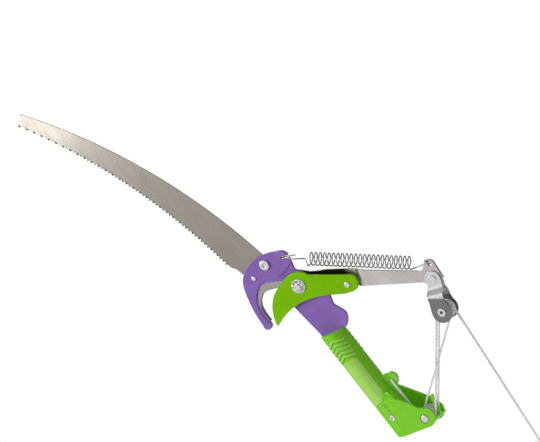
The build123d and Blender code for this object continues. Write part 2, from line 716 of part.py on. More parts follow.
with BuildPart() as pole_lock_screw:
    with BuildSketch(layer(-SOCKET_R + 1.3)):
        with Locations((0.0, SCREW_Z)):
            Circle(3.9)
    extrude(amount=1.7)
    fillet(pole_lock_screw.faces().sort_by(Axis.Y)[0].edges(), 0.9)
    with BuildSketch(layer(-SOCKET_R - 0.4)):
        with Locations((0.0, SCREW_Z)):
            RegularPolygon(1.7, 6)
    extrude(amount=-1.2, mode=Mode.SUBTRACT)
    with BuildSketch(layer(-POLE_BORE_R - 0.4)):
        with Locations((0.0, SCREW_Z)):
            Circle(1.95)
    extrude(amount=SOCKET_R - 1.3 - POLE_BORE_R - 0.4)
save(pole_lock_screw, "pole_lock_screw", ZINC)

with BuildPart() as lower_axle:
    with BuildSketch(layer(-BRACKET_OUT + 1.6)):
        with Locations(LOWER_AXLE):
            Circle(5.4)
    extrude(amount=2.0)
    fillet(lower_axle.faces().sort_by(Axis.Y)[0].edges(), 1.1)
    with BuildSketch(layer(BRACKET_OUT + 3.5)):
        with Locations(LOWER_AXLE):
            Circle(AXLE_R - 0.02)
    extrude(amount=2 * BRACKET_OUT + 1.9)
save(lower_axle, "lower_axle", ZINC)

with BuildPart() as lower_axle_nut:
    with BuildSketch(layer(BRACKET_OUT + 2.6)):
        with Locations(LOWER_AXLE):
            RegularPolygon(5.8, 6)
            Circle(AXLE_R, mode=Mode.SUBTRACT)
    extrude(amount=4.2)
save(lower_axle_nut, "lower_axle_nut", ZINC)

# ---------------------------------------------------------------- rope
# Both crossed tangents between a lower and an upper sheave lean this much from the line of centres.
span = hypot(UPPER_AXLE[0] - LOWER_AXLE[0], UPPER_AXLE[1] - LOWER_AXLE[1])
span_angle = degrees(atan2(UPPER_AXLE[1] - LOWER_AXLE[1], UPPER_AXLE[0] - LOWER_AXLE[0]))
lean = degrees(asin(2 * ROPE_TURN_R / span))
UP_TANGENT = span_angle - 90 + lean  # angle, on a lower sheave, where the rope leaves for the upper one
DOWN_TANGENT = span_angle + 90 - lean  # angle, on a lower sheave, where the rope comes down from above


def on_sheave(place, angle, lane):
    """Point of the rope's centre line on a sheave, at an angle from +X towards +Z."""
    return point(
        (place[0] + ROPE_TURN_R * cos(radians(angle)), place[1] + ROPE_TURN_R * sin(radians(angle))), lane
    )


def rope_turn(place, lane, start, sweep_angle):
    """Rope laid round part of a sheave."""
    with BuildPart() as turn:
        with BuildLine(layer(lane)) as lay:
            CenterArc(place, ROPE_TURN_R, start, sweep_angle)
        with BuildSketch(Plane(origin=lay.line @ 0, z_dir=lay.line % 0)):
            Circle(ROPE_R)
        sweep(path=lay.line)
    return turn.part


def rope_run(start, end):
    """Straight rope between two points."""
    with BuildPart() as run:
        with BuildSketch(Plane(origin=start, z_dir=end - start)):
            Circle(ROPE_R)
        extrude(amount=(end - start).length)
    return run.part


with BuildPart() as lower_turns:
    add(rope_turn(LOWER_AXLE, -LANE, 180.0, 180.0 + UP_TANGENT))
    add(rope_turn(LOWER_AXLE, LANE, DOWN_TANGENT, 360.0 + UP_TANGENT - DOWN_TANGENT))
save(lower_turns, "lower_turns", ROPE)

with BuildPart() as upper_turns:
    add(rope_turn(UPPER_AXLE, -LANE, 180.0 + UP_TANGENT, -(360.0 + UP_TANGENT - DOWN_TANGENT)))
    add(rope_turn(UPPER_AXLE, LANE, 180.0 + UP_TANGENT, -(180.0 + UP_TANGENT - PULL_ANGLE)))
save(upper_turns, "upper_turns", ROPE)

FALL_GAP = 0.15  # each fall ends this short of the turn it continues, so the slanted one clears it


def rope_fall(start, end):
    """One straight fall of rope between a lower and an upper sheave."""
    gap = (end - start).normalized() * FALL_GAP
    return rope_run(start + gap, end - gap)


with BuildPart() as rope_falls:
    add(rope_fall(on_sheave(LOWER_AXLE, UP_TANGENT, -LANE), on_sheave(UPPER_AXLE, 180 + UP_TANGENT, -LANE)))
    add(
        rope_fall(
            on_sheave(UPPER_AXLE, DOWN_TANGENT - 180, -LANE), on_sheave(LOWER_AXLE, DOWN_TANGENT, LANE)
        )
    )
    add(rope_fall(on_sheave(LOWER_AXLE, UP_TANGENT, LANE), on_sheave(UPPER_AXLE, 180 + UP_TANGENT, LANE)))
save(rope_falls, "rope_falls", ROPE)

# anchored end: through the ear's hole, round its edge and straight down to the front lower sheave
with BuildPart() as anchored_rope:
    with BuildLine() as anchor_line:
        FilletPolyline(
            point(EAR_HOLE, 4.0),
            point(EAR_HOLE, -LANE),
            point((EAR_HOLE[0], LOWER_AXLE[1]), -LANE),
            radius=1.9,
        )
    with BuildSketch(Plane(origin=anchor_line.line @ 0, z_dir=anchor_line.line % 0)):
        Circle(ROPE_R)
    sweep(path=anchor_line.line)
save(anchored_rope, "anchored_rope", ROPE)

with BuildPart() as anchor_knot:
    with Locations(point(EAR_HOLE, 6.6)):
        Sphere(3.9)
    with BuildSketch(layer(4.0)):
        with Locations(EAR_HOLE):
            Circle(6.0)
    extrude(amount=6.0, mode=Mode.SUBTRACT)
save(anchor_knot, "anchor_knot", ROPE)

# pulled end, drawn tight and straight down towards the hand, with a knot at its end
pull_start = on_sheave(UPPER_AXLE, PULL_ANGLE, LANE)
pull_way = Vector(sin(radians(PULL_ANGLE)), 0, -cos(radians(PULL_ANGLE)))
pull_end = pull_start + pull_way * PULL_LENGTH
with BuildPart() as pull_rope:
    add(rope_run(pull_start, pull_end))
save(pull_rope, "pull_rope", ROPE)

with BuildPart() as end_knot:
    with Locations(pull_end + pull_way * 3.6):
        Sphere(4.2)
    add(rope_run(pull_end - pull_way * 5.0, pull_end), mode=Mode.SUBTRACT)
save(end_knot, "end_knot", ROPE)

# ---------------------------------------------------------------- return spring
# The spring's front hook passes through the frame's notch, and its tail passes through the arm's ear.
HOOK_FRONT = HOOK_FACE - WIRE_R - 0.2  # depth of the wire in front of the frame plate
HOOK_REAR = FRAME_BACK + WIRE_R + 0.3  # depth of the hook's end behind it
TAIL_DEPTH = ARM_THICK / 2 + WIRE_R + 0.7  # depth of the tail's wire on either side of the ear
WIRE_BEND = 1.8
spring_run = point(SPRING_EAR, 0) - point(SPRING_NOTCH, 0)
spring_way = spring_run.normalized()
spring_up = Vector(-spring_way.Z, 0, spring_way.X)
coil_length = spring_run.length - HOOK_WIRE - TAIL_WIRE
coil_start = point(SPRING_NOTCH, 0) + spring_way * HOOK_WIRE
coil_frame = Plane(origin=coil_start, x_dir=-spring_up, z_dir=spring_way)
coil = coil_frame.location * Helix(pitch=coil_length / COILS, height=coil_length, radius=COIL_R)


def spring_point(place, depth, forward, up=0.0):
    """Point of the spring near one of its ends: forward along the spring, up across it."""
    return point(place, depth) + spring_way * forward + spring_up * up


def wire_along(path, start, way):
    """Spring wire of round section along a path."""
    with BuildPart() as wire:
        with BuildSketch(Plane(origin=start, z_dir=way)):
            Circle(WIRE_R)
        sweep(path=path, is_frenet=True)
    return wire.part


with BuildLine() as hook_line:
    FilletPolyline(
        coil @ 0,
        coil @ 0 - (coil % 0) * 5.0,
        spring_point(SPRING_NOTCH, 0.0, HOOK_WIRE - 6.0),
        spring_point(SPRING_NOTCH, HOOK_FRONT, HOOK_WIRE - 18.0, 0.3),
        spring_point(SPRING_NOTCH, HOOK_FRONT, 0.0),
        spring_point(SPRING_NOTCH, HOOK_REAR, 0.0),
        spring_point(SPRING_NOTCH, HOOK_REAR, 17.0, 3.2),
        radius=WIRE_BEND,
    )
with BuildLine() as tail_line:
    FilletPolyline(
        coil @ 1,
        coil @ 1 + (coil % 1) * 5.5,
        spring_point(SPRING_EAR, TAIL_DEPTH, -10.0, -2.5),
        spring_point(SPRING_EAR, TAIL_DEPTH, 0.0),
        spring_point(SPRING_EAR, -TAIL_DEPTH, 0.0),
        spring_point(SPRING_EAR, -TAIL_DEPTH, -5.5, 6.0),
        radius=WIRE_BEND,
    )

with BuildPart() as return_spring:
    add(wire_along(coil, coil @ 0, coil % 0))
    add(wire_along(hook_line.line, hook_line.line @ 0, hook_line.line % 0))
save(return_spring, "return_spring", STEEL)

with BuildPart() as spring_tail:
    add(wire_along(tail_line.line, tail_line.line @ 0, tail_line.line % 0))
save(spring_tail, "spring_tail", STEEL)
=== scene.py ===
from math import asin, atan2, cos, hypot, pi, radians, sin, tau

import bmesh
import bpy
from mathutils import Matrix, Vector


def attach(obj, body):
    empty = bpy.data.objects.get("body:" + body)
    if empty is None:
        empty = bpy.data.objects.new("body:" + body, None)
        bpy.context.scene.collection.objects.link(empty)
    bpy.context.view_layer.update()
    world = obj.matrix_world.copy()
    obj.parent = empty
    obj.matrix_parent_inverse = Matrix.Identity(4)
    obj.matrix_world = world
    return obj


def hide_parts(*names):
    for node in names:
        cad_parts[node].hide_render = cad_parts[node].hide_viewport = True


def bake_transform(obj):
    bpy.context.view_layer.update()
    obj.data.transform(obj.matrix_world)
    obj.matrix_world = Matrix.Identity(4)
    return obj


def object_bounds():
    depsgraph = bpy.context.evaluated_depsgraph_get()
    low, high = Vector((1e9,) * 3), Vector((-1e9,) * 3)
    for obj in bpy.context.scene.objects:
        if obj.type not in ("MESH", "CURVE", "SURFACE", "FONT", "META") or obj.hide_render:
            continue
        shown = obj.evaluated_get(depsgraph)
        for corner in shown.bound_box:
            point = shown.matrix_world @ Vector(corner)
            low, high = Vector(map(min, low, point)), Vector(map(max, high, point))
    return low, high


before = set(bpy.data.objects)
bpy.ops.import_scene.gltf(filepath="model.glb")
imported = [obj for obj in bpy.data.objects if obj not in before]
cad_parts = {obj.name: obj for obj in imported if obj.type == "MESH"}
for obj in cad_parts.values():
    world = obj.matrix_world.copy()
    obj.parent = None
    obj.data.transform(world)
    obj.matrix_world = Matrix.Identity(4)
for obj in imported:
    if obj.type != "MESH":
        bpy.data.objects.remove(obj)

bl_info = {
    "name": "Pole saw head",
    "version": (1, 0, 0),
    "blender": (4, 5, 0),
    "location": "View3D > Sidebar > Pole saw",
    "description": "Builds the cutting head of a telescoping pole saw round its CAD frame",
    "category": "Object",
}

CAD_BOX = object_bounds()
MM = 0.001

# Places on the tool as (x, z) in millimetres, and depths along Y, as in the CAD frame.
SPRING_NOTCH = (9.0, 275.5)
SPRING_EAR = (176.4, 152.4)
UPPER_AXLE = (152.4, 93.0)
LOWER_AXLE = (37.4, -3.0)
EAR_HOLE = (27.0, 63.4)
LANE = 4.45
ROPE_TURN_R = 10.4
PULL_ANGLE = radians(-6.0)
PULL_LENGTH = 220.0

# Both ropes that cross between a lower and an upper sheave lean this much from the line of centres.
SPAN = hypot(UPPER_AXLE[0] - LOWER_AXLE[0], UPPER_AXLE[1] - LOWER_AXLE[1])
SPAN_ANGLE = atan2(UPPER_AXLE[1] - LOWER_AXLE[1], UPPER_AXLE[0] - LOWER_AXLE[0])
LEAN = asin(2 * ROPE_TURN_R / SPAN)
UP_TANGENT = SPAN_ANGLE - pi / 2 + LEAN
DOWN_TANGENT = SPAN_ANGLE + pi / 2 - LEAN

# Saw blade: three points of its back and of its toothed edge, and its heel.
SAW_BACK = ((-14.2, 298.1), (-63.2, 452.4), (-172.5, 635.3))
SAW_EDGE = ((-186.2, 621.9), (-113.9, 482.0), (-67.0, 313.6))
SAW_HEEL = ((-63.5, 307.5), (-57.5, 299.0), (-55.0, 288.0), (-53.5, 274.0), (-46.0, 267.0))
SAW_TANG = ((-38.0, 266.8), (-16.0, 268.5), (-8.0, 277.0))
SAW_FRONT = 2.0
SAW_REAR = 3.4

# Return spring: the coil, the straight wire at each end of it, and the wire's depths at both ends.
COIL_R = 8.3
COILS = 23
COIL_STEPS = 28  # mesh steps in one turn
HOOK_WIRE = 38.0
TAIL_WIRE = 25.5
HOOK_FRONT = -4.1
HOOK_REAR = 3.2
TAIL_DEPTH = 3.35

# Rope: points in a turn on a sheave and sides of the section.
TURN_POINTS = 48
ROPE_SIDES = 18

# Lock nut on the pivot: its middle, the star's number of points and the mesh steps for each.
PIVOT = (5.0, 233.5)
STAR_POINTS = 12
STAR_STEPS = 6

# Pulley block: the direction in the XZ plane along which its plate turns from a painted dark reflection
# to bright zinc, and the distances along it, in metres, where the change starts and ends.
LOBE_ALONG = (0.5335, 0.0, 0.788)
DARK_REFLECTION_TO = 0.1715
BRIGHT_FROM = 0.1735

# Lever arm: painted shade makes it nearly black as far along X as this, in metres, and it is bare from the
# second value on.
PAINTED_SHADE_TO = 0.066
UNSHADED_FROM = 0.077

# Pole socket: its radius and how far the moulded marks stand out of it, in millimetres. The marks
# start above MARKS_LOW, and the bracket's walls take up their sides below WALL_TOP, in metres.
TUBE_R = 17.0
MARK_RELIEF = 1.1
MARKS_LOW = 0.025
WALL_FADE = 0.047
WALL_TOP = 0.062
RIB_HALF = 0.0037
MARK_HALF = 0.0137

# Edges sharper than this are eased, and a CAD piece's vertices closer than this are one, in metres.
SHARP = radians(32)
MERGE = 2e-6

# Camera: the point that it looks at, and the directions to its right and behind it.
CAMERA_AIM = Vector((0.0279, 0.0, 0.3229))
CAMERA_RIGHT = Vector((0.6824, 0.3940, -0.6160))
CAMERA_BACK = Vector((0.5, -0.866, 0.0))


# ---------------------------------------------------------------- settings
class FinishColours(bpy.types.PropertyGroup):
    """Colours of the tool's finishes."""

    saw_steel: bpy.props.FloatVectorProperty(
        name="Saw steel",
        description="Ground steel of the saw blade",
        default=(0.36, 0.33, 0.29),
        subtype="COLOR",
    )
    anvil_steel: bpy.props.FloatVectorProperty(
        name="Anvil steel",
        description="Blanked steel of the anvil",
        default=(0.42, 0.39, 0.35),
        subtype="COLOR",
    )
    arm_steel: bpy.props.FloatVectorProperty(
        name="Arm steel",
        description="Brushed steel of the lever arm",
        default=(0.66, 0.62, 0.60),
        subtype="COLOR",
    )
    purple_paint: bpy.props.FloatVectorProperty(
        name="Purple paint",
        description="Powder coat of the frame plate",
        default=(0.29, 0.155, 0.53),
        subtype="COLOR",
    )
    green_paint: bpy.props.FloatVectorProperty(
        name="Green paint",
        description="Powder coat of the lopper blade",
        default=(0.23, 0.60, 0.002),
        subtype="COLOR",
    )
    zinc: bpy.props.FloatVectorProperty(
        name="Zinc",
        description="Bright zinc plate",
        default=(0.84, 0.83, 0.83),
        subtype="COLOR",
    )
    spring_wire: bpy.props.FloatVectorProperty(
        name="Spring wire",
        description="Drawn spring wire",
        default=(0.42, 0.41, 0.40),
        subtype="COLOR",
    )
    green_plastic: bpy.props.FloatVectorProperty(
        name="Green plastic",
        description="Moulded plastic of the pole socket",
        default=(0.22, 0.72, 0.006),
        subtype="COLOR",
    )
    sheave_nylon: bpy.props.FloatVectorProperty(
        name="Sheave nylon",
        description="Moulded nylon of the sheaves",
        default=(0.70, 0.70, 0.68),
        subtype="COLOR",
    )
    rope_white: bpy.props.FloatVectorProperty(
        name="Rope white",
        description="Twisted polyamide rope",
        default=(0.97, 0.97, 0.96),
        subtype="COLOR",
    )


class RopeSizes(bpy.types.PropertyGroup):
    """Sizes of the rope."""

    radius: bpy.props.FloatProperty(
        name="Radius", description="Radius over the strands", default=0.0016, unit="LENGTH"
    )
    lay_length: bpy.props.FloatProperty(
        name="Lay length",
        description="Length in which a strand goes once round",
        default=0.0105,
        unit="LENGTH",
    )
    groove: bpy.props.FloatProperty(
        name="Groove",
        description="Depth between strands as a share of the radius",
        default=0.26,
        subtype="FACTOR",
    )
    step: bpy.props.FloatProperty(
        name="Step", description="Length of one mesh step", default=0.0009, unit="LENGTH"
    )


class SawSizes(bpy.types.PropertyGroup):
    """Sizes of the saw's teeth."""

    pitch: bpy.props.FloatProperty(
        name="Pitch", description="From tooth to tooth", default=0.0054, unit="LENGTH"
    )
    depth: bpy.props.FloatProperty(
        name="Depth", description="From gullet to point", default=0.0034, unit="LENGTH"
    )
    side_set: bpy.props.FloatProperty(
        name="Set", description="How far each point leans to its side", default=0.0004, unit="LENGTH"
    )


class WireSizes(bpy.types.PropertyGroup):
    """Sizes of the return spring's wire."""

    radius: bpy.props.FloatProperty(
        name="Radius", description="Radius of the wire", default=0.0009, unit="LENGTH"
    )
    step: bpy.props.FloatProperty(
        name="Step", description="Length of one mesh step", default=0.0011, unit="LENGTH"
    )
    sides: bpy.props.IntProperty(name="Sides", description="Sides of the wire's section", default=10)


class StageSizes(bpy.types.PropertyGroup):
    """Camera, floor and light."""

    camera_distance: bpy.props.FloatProperty(
        name="Camera distance", description="From the camera to the tool", default=11.7, unit="LENGTH"
    )
    lens: bpy.props.FloatProperty(name="Lens", description="Focal length in millimetres", default=600.0)
    floor_radius: bpy.props.FloatProperty(
        name="Floor radius", description="Radius of the pale floor", default=0.62, unit="LENGTH"
    )
    floor_gap: bpy.props.FloatProperty(
        name="Floor gap",
        description="From the tool's lowest point to the floor",
        default=0.004,
        unit="LENGTH",
    )


SETTINGS = {
    "pole_saw_colours": FinishColours,
    "pole_saw_rope": RopeSizes,
    "pole_saw_teeth": SawSizes,
    "pole_saw_wire": WireSizes,
    "pole_saw_stage": StageSizes,
}


# ---------------------------------------------------------------- node trees
def add_node(tree, kind, sockets=None, **settings):
    """A node whose inputs, by name or number, are linked to a socket or set to a value."""
    made = tree.nodes.new(kind)
    for key, value in settings.items():
        setattr(made, key, value)
    for key, value in (sockets or {}).items():
        if isinstance(value, bpy.types.NodeSocket):
            tree.links.new(value, made.inputs[key])
        else:
            made.inputs[key].default_value = value
    return made


def math_node(tree, operation, first, second=0.0):
    """Result of one sum."""
    return add_node(tree, "ShaderNodeMath", {0: first, 1: second}, operation=operation).outputs[0]


def new_tree(name, inputs):
    """Geometry tree with named inputs, and its input node."""
    tree = bpy.data.node_groups.new(name, "GeometryNodeTree")
    tree.interface.new_socket("Geometry", in_out="OUTPUT", socket_type="NodeSocketGeometry")
    tree.interface.new_socket("Geometry", in_out="INPUT", socket_type="NodeSocketGeometry")
    for label, kind in inputs:
        tree.interface.new_socket(label, in_out="INPUT", socket_type=kind)
    return tree, tree.nodes.new("NodeGroupInput").outputs


def close_tree(tree, geometry, material):
    """Last nodes of a tree: realized and with its material."""
    realized = add_node(tree, "GeometryNodeRealizeInstances", {"Geometry": geometry})
    painted = add_node(
        tree, "GeometryNodeSetMaterial", {"Geometry": realized.outputs[0], "Material": material}
    )
    add_node(tree, "NodeGroupOutput", {0: painted.outputs[0]})
    return tree


def stranded_tree():
    """Section with three lobes that turns as it follows a curve; without a groove it is round wire."""
    tree, given = new_tree(
        "stranded_path",
        (
            ("Radius", "NodeSocketFloat"),
            ("Step", "NodeSocketFloat"),
            ("Lay Length", "NodeSocketFloat"),
            ("Groove", "NodeSocketFloat"),
            ("Sides", "NodeSocketInt"),
            ("Material", "NodeSocketMaterial"),
        ),
    )
    even = add_node(
        tree,
        "GeometryNodeResampleCurve",
        {"Curve": given["Geometry"], "Length": given["Step"]},
        mode="LENGTH",
    )
    run = add_node(tree, "GeometryNodeSplineParameter").outputs["Length"]
    turns = math_node(tree, "DIVIDE", run, given["Lay Length"])
    tilted = add_node(
        tree,
        "GeometryNodeSetCurveTilt",
        {"Curve": even.outputs[0], "Tilt": math_node(tree, "MULTIPLY", turns, tau)},
    )
    ring = add_node(
        tree, "GeometryNodeCurvePrimitiveCircle", {"Resolution": given["Sides"], "Radius": given["Radius"]}
    )
    place = add_node(tree, "GeometryNodeInputPosition").outputs[0]
    parts = add_node(tree, "ShaderNodeSeparateXYZ", {0: place}).outputs
    angle = math_node(tree, "ARCTAN2", parts["Y"], parts["X"])
    lobe = math_node(tree, "ABSOLUTE", math_node(tree, "COSINE", math_node(tree, "MULTIPLY", angle, 1.5)))
    reach = math_node(
        tree,
        "ADD",
        math_node(tree, "MULTIPLY", lobe, given["Groove"]),
        math_node(tree, "SUBTRACT", 1.0, given["Groove"]),
    )
    scaled = add_node(tree, "ShaderNodeVectorMath", {0: place, "Scale": reach}, operation="SCALE")
    section = add_node(
        tree, "GeometryNodeSetPosition", {"Geometry": ring.outputs[0], "Position": scaled.outputs[0]}
    )
    tube = add_node(
        tree,
        "GeometryNodeCurveToMesh",
        {"Curve": tilted.outputs[0], "Profile Curve": section.outputs[0], "Fill Caps": True},
    )
    return close_tree(tree, tube.outputs[0], given["Material"])


def teeth_tree():
    """Teeth along a curve in the XZ plane, each second one turned over."""
    tree, given = new_tree(
        "saw_teeth",
        (("Pitch", "NodeSocketFloat"), ("Tooth", "NodeSocketObject"), ("Material", "NodeSocketMaterial")),
    )
    places = add_node(
        tree,
        "GeometryNodeCurveToPoints",
        {"Curve": given["Geometry"], "Length": given["Pitch"]},
        mode="LENGTH",
    )
    aligned = add_node(
        tree,
        "FunctionNodeAlignRotationToVector",
        {"Vector": places.outputs["Tangent"]},
        axis="X",
        pivot_axis="Y",
    )
    number = add_node(tree, "GeometryNodeInputIndex").outputs[0]
    half_turn = math_node(tree, "MULTIPLY", math_node(tree, "MODULO", number, 2.0), pi)
    euler = add_node(tree, "ShaderNodeCombineXYZ", {"Z": half_turn}).outputs[0]
    spin = add_node(tree, "FunctionNodeEulerToRotation", {0: euler})
    turned = add_node(
        tree,
        "FunctionNodeRotateRotation",
        {"Rotation": aligned.outputs[0], "Rotate By": spin.outputs[0]},
        rotation_space="LOCAL",
    )
    tooth = add_node(tree, "GeometryNodeObjectInfo", {"Object": given["Tooth"]})
    placed = add_node(
        tree,
        "GeometryNodeInstanceOnPoints",
        {
            "Points": places.outputs["Points"],
            "Instance": tooth.outputs["Geometry"],
            "Rotation": turned.outputs[0],
        },
    )
    return close_tree(tree, placed.outputs[0], given["Material"])


def show(name, data):
    """Object with this data, at the origin."""
    made = bpy.data.objects.new(name, data)
    bpy.context.scene.collection.objects.link(made)
    return made


def final_mesh(source, name):
    """Plain mesh object of what a source object's modifiers make; the source is removed."""
    depsgraph = bpy.context.evaluated_depsgraph_get()
    mesh = bpy.data.meshes.new_from_object(source.evaluated_get(depsgraph), depsgraph=depsgraph)
    mesh.name = name
    source.modifiers.clear()
    bpy.data.objects.remove(source)
    return show(name, mesh)


def grown(source, tree, name, **values):
    """Mesh that a geometry tree makes from a source object. Keywords name the tree's inputs."""
    modifier = source.modifiers.new("grow", "NODES")
    modifier.node_group = tree
    for item in tree.interface.items_tree:
        key = item.name.lower().replace(" ", "_")
        if item.in_out == "INPUT" and key in values:
            modifier[item.identifier] = values[key]
    made = final_mesh(source, name)
    paint(made, values["material"])
    return made


def cover(mesh, material):
    """One material all over a mesh."""
    mesh.materials.clear()
    mesh.materials.append(material)
    mesh.polygons.foreach_set("material_index", [0] * len(mesh.polygons))


def paint(piece, material):
    """One material all over a piece, with smooth shading."""
    mesh = piece.data
    cover(mesh, material)
    mesh.shade_smooth()
    mesh.update()


# ---------------------------------------------------------------- curves and plates
def at(place, depth):
    """Row point of an (x, z) place at a depth, in metres."""
    return Vector((place[0], depth, place[1])) * MM


def path_curve(name, runs, closed=False):
    """Curve object with one straight-segment spline for each run of points."""
    curve = bpy.data.curves.new(name, "CURVE")
    curve.dimensions = "3D"
    for run in runs:
        spline = curve.splines.new("POLY")
        spline.points.add(len(run) - 1)
        for control, spot in zip(spline.points, run):
            control.co = (*spot, 1.0)
        spline.use_cyclic_u = closed
    return show(name, curve)


def arc_through(first, middle, last, count):
    """Points of the circular arc through three (x, z) places."""
    a, b, c = (Vector(place) for place in (first, middle, last))
    twice = 2 * (a.x * (b.y - c.y) + b.x * (c.y - a.y) + c.x * (a.y - b.y))
    squares = (a.length_squared, b.length_squared, c.length_squared)
    centre = Vector((
        (squares[0] * (b.y - c.y) + squares[1] * (c.y - a.y) + squares[2] * (a.y - b.y)) / twice,
        (squares[0] * (c.x - b.x) + squares[1] * (a.x - c.x) + squares[2] * (b.x - a.x)) / twice,
    ))
    radius = (a - centre).length
    begin = atan2(a.y - centre.y, a.x - centre.x)
    sweep = (atan2(c.y - centre.y, c.x - centre.x) - begin + pi) % tau - pi
    angles = [begin + sweep * i / count for i in range(count + 1)]
    return [(centre.x + radius * cos(angle), centre.y + radius * sin(angle)) for angle in angles]


def turn_points(axle, lane, start, sweep):
    """Rope line laid round part of a sheave."""
    angles = [start + sweep * i / TURN_POINTS for i in range(TURN_POINTS + 1)]
    return [at((axle[0] + ROPE_TURN_R * cos(a), axle[1] + ROPE_TURN_R * sin(a)), lane) for a in angles]


def on_sheave(axle, lane, angle):
    """Point of the rope's line on a sheave."""
    return turn_points(axle, lane, angle, 0.0)[0]


def rounded(points, radius, steps=8):
    """Line of straight runs whose corners are rounded, except those that hardly turn."""
    line = [points[0]]
    for before, corner, after in zip(points, points[1:], points[2:]):
        into = (corner - before).normalized()
        out = (after - corner).normalized()
        half = into.angle(out) / 2
        if half < 0.02:
            continue
        shorter = min((corner - before).length, (after - corner).length)
        cut = min(radius * sin(half) / cos(half), shorter * 0.48)
        start, end = corner - into * cut, corner + out * cut
        for i in range(steps + 1):
            t = i / steps
            line.append(start * (1 - t) ** 2 + corner * 2 * t * (1 - t) + end * t ** 2)
    line.append(points[-1])
    return line


def plate(name, outline, front, back):
    """Flat plate with an (x, z) outline between two depths."""
    bm = bmesh.new()
    corners = [bm.verts.new(at(place, front)) for place in outline]
    bm.faces.new(corners)
    raised = bmesh.ops.extrude_face_region(bm, geom=bm.faces[:])
    moved = [item for item in raised["geom"] if isinstance(item, bmesh.types.BMVert)]
    bmesh.ops.translate(bm, verts=moved, vec=(0.0, (back - front) * MM, 0.0))
    bmesh.ops.recalc_face_normals(bm, faces=bm.faces)
    mesh = bpy.data.meshes.new(name)
    bm.to_mesh(mesh)
    bm.free()
    return show(name, mesh)


def eased(piece, name, material, width, steps=2):
    """A piece with its sharp edges eased by a bevel."""
    mesh = piece.data
    mesh.shade_smooth()
    mesh.set_sharp_from_angle(angle=SHARP)
    bevel = piece.modifiers.new("ease", "BEVEL")
    bevel.width = width * MM
    bevel.segments = steps
    bevel.limit_method = "ANGLE"
    bevel.angle_limit = SHARP
    bevel.harden_normals = True
    made = final_mesh(piece, name)
    cover(made.data, material)
    return made


def from_frame(node, finish, body, width, steps=2, slot=None):
    """Finished piece made from a CAD node's shape, with merged faces and eased edges.

    The slot is the finish's own name unless another is given; it goes to dress, which does not use it.
    """
    bm = bmesh.new()
    bm.from_mesh(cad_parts[node].data)
    bmesh.ops.remove_doubles(bm, verts=bm.verts, dist=MERGE)
    bmesh.ops.dissolve_limit(bm, angle_limit=radians(0.8), verts=bm.verts, edges=bm.edges)
    mesh = bpy.data.meshes.new(f"eased_{node}")
    bm.to_mesh(mesh)
    bm.free()
    made = eased(show(f"eased_{node}", mesh), f"shown_{node}", material_of(finish), width, steps)
    return dress(made, body, slot or finish, node)


def dress(piece, body, slot, *nodes):
    """The piece stands for CAD nodes and moves with a body; the slot is not used."""
    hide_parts(*nodes)
    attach(piece, body)
    return piece


# ---------------------------------------------------------------- finishes
class Finish:
    """Node tree of one finish: colour, roughness and bump are chained on as layers.

    The finish's name picks its colour in the settings unless a slot is given, whose colour it takes.
    """

    def __init__(self, name, metallic, roughness, slot="", **sockets):
        colours = bpy.context.scene.pole_saw_colours
        self.material = bpy.data.materials.new(f"{name}_finish")
        self.material.use_nodes = True
        self.tree = self.material.node_tree
        self.shader = self.tree.nodes["Principled BSDF"]
        self.base = (*getattr(colours, slot or name), 1.0)
        self.place = add_node(self.tree, "ShaderNodeTexCoord").outputs["Object"]
        self.shader.inputs["Metallic"].default_value = metallic
        self.rough = roughness
        for key, value in sockets.items():
            self.shader.inputs[key.replace("_", " ")].default_value = value
        self.colour = None
        self.roughness = None
        self.bump = None

    def noise(self, scale, stretch=(1.0, 1.0, 1.0), lean=0.0, detail=4.0, roughness=0.6):
        """Noise that can be drawn out along a direction in the XZ plane."""
        mapped = add_node(
            self.tree,
            "ShaderNodeMapping",
            {"Vector": self.place, "Rotation": (0.0, lean, 0.0), "Scale": stretch},
        )
        return add_node(
            self.tree,
            "ShaderNodeTexNoise",
            {"Vector": mapped.outputs[0], "Scale": scale, "Detail": detail, "Roughness": roughness},
        ).outputs["Fac"]

    def cells(self, scale):
        """Pattern of cells, each of one shade."""
        return add_node(
            self.tree, "ShaderNodeTexVoronoi", {"Vector": self.place, "Scale": scale}
        ).outputs["Color"]

    def range(self, value, low, high, to_low, to_high):
        """A value brought from one range into another."""
        return add_node(
            self.tree,
            "ShaderNodeMapRange",
            {0: value, 1: low, 2: high, 3: to_low, 4: to_high},
        ).outputs[0]

    def tint(self, amount, factor):
        """Colour drawn towards a lighter or darker shade of itself."""
        shade = tuple(min(1.0, channel * amount) for channel in self.base[:3]) + (1.0,)
        self.blend_colour(shade, factor)

    def blend_colour(self, shade, factor):
        """Colour drawn towards another one."""
        below = self.colour or self.base
        mixed = add_node(self.tree, "ShaderNodeMix", {0: factor, 6: below, 7: shade}, data_type="RGBA")
        self.colour = mixed.outputs[2]

    def roughen(self, value, low, high):
        """Roughness that follows a pattern."""
        self.roughness = self.range(value, 0.3, 0.7, low, high)

    def emboss(self, value, strength, distance):
        """Fine relief that follows a pattern."""
        sockets = {"Height": value, "Strength": strength, "Distance": distance * MM}
        if self.bump is not None:
            sockets["Normal"] = self.bump
        self.bump = add_node(self.tree, "ShaderNodeBump", sockets).outputs[0]

    def done(self):
        """The finished material."""
        inputs = self.shader.inputs
        inputs["Base Color"].default_value = self.base
        inputs["Roughness"].default_value = self.rough
        layers = {"Base Color": self.colour, "Roughness": self.roughness, "Normal": self.bump}
        for key, socket in layers.items():
            if socket is not None:
                self.tree.links.new(socket, inputs[key])
        return self.material


